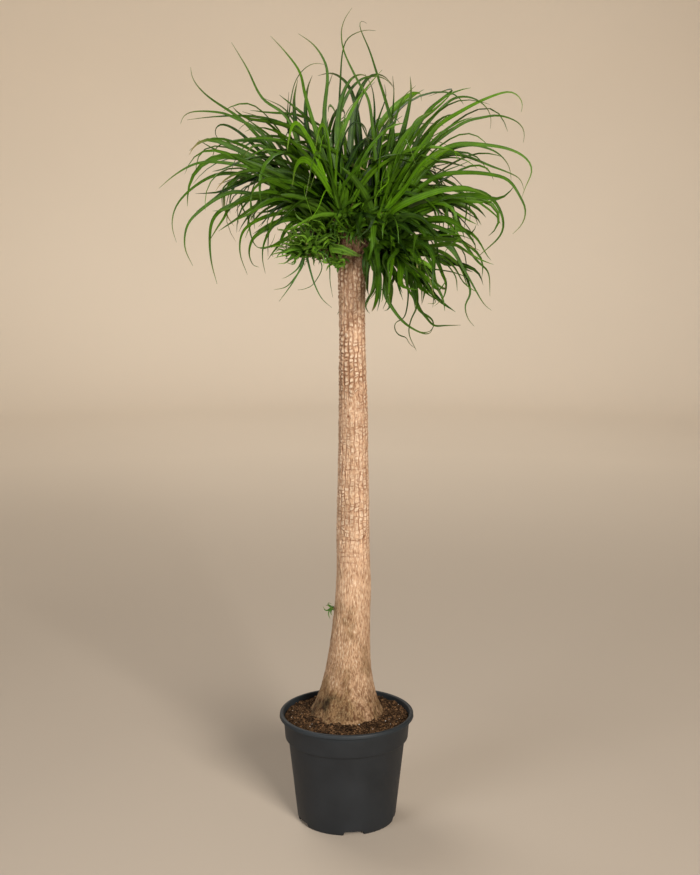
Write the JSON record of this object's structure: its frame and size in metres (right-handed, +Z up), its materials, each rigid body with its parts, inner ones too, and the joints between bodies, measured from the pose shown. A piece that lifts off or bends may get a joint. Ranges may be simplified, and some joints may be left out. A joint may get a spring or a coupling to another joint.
{
  "type": "potted ponytail palm",
  "caption": "Tall ponytail palm with a flared corky trunk and a branched crown of long arching strap leaves, growing in a round nursery pot of soil.",
  "frame": {"origin": "on the floor, on the pot's axis, which is also the middle of the whole plant seen from above", "axes": "+Z up along the trunk, -Y is the front that the picture shows, +X to its right"},
  "size_m": [0.773, 0.74, 1.775],
  "materials": {
    "pot_plastic": "fine matt moulded plastic, anthracite",
    "soil": "loose crumbly potting soil",
    "bark": "dry cracked corky bark",
    "leaf": "smooth slightly waxy leaf",
    "young_leaf": "smooth young leaf"
  },
  "bodies": {
    "root": {"pot": "pot_plastic", "soil": "soil", "trunk": "bark", "head_middle": "leaf", "head_left": "leaf", "head_right": "leaf", "head_back": "leaf", "head_low_right": "leaf", "head_low_back": "leaf", "head_low_left": "young_leaf", "neck_shoot": "young_leaf", "trunk_sprout": "young_leaf"}
  },
  "joints": []
}
